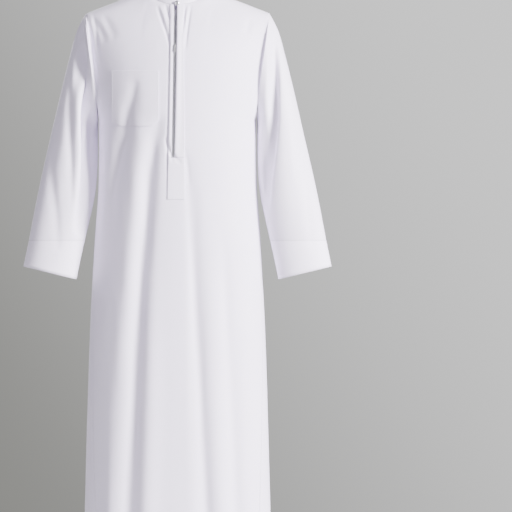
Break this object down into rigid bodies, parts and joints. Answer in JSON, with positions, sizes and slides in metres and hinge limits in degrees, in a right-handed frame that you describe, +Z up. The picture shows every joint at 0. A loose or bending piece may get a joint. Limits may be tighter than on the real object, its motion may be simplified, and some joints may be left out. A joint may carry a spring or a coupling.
{
  "type": "thobe robe",
  "caption": "Ankle-length white thobe with band collar, stud, zipped front placket, chest pocket, side gores and long straight sleeves, held hollow as worn.",
  "frame": {"origin": "between the wearer's shoulders, on the centre plane, level with the neck points of the shoulder seams", "axes": "+Z up, -Y the way the front faces, +X the garment's own left side"},
  "size_m": [0.754, 0.2738, 1.4466],
  "materials": {
    "white_cloth": "smooth plain-weave suiting with a slight sheen",
    "faced_cloth": "the same cloth over a stiff interlining",
    "zip_tape": "matt woven tape",
    "zip_metal": "dark nickel",
    "stud_metal": "polished silver tone"
  },
  "bodies": {
    "robe": {"front_panel": "white_cloth", "back_panel": "white_cloth", "side_gore_right": "white_cloth", "side_gore_left": "white_cloth", "sleeve_right": "white_cloth", "sleeve_left": "white_cloth", "collar_band": "faced_cloth", "placket_right": "faced_cloth", "placket_left": "faced_cloth", "placket_tail": "faced_cloth", "chest_pocket": "white_cloth", "zip_tape_right": "zip_tape", "zip_tape_left": "zip_tape", "zip_teeth_right": "zip_metal", "zip_teeth_left": "zip_metal", "zip_bottom_stop": "zip_metal", "zip_slider": "zip_metal", "collar_stud": "stud_metal"},
    "pull_tab": {"zip_pull_tab": "zip_metal"}
  },
  "joints": [
    {"name": "pull_tab_swing", "type": "hinge", "parent": "robe", "child": "pull_tab", "pos_m": [-0.00531, -0.11349, -0.14085], "axis": [-1, 0, 0], "range_deg": [0, 150]}
  ]
}
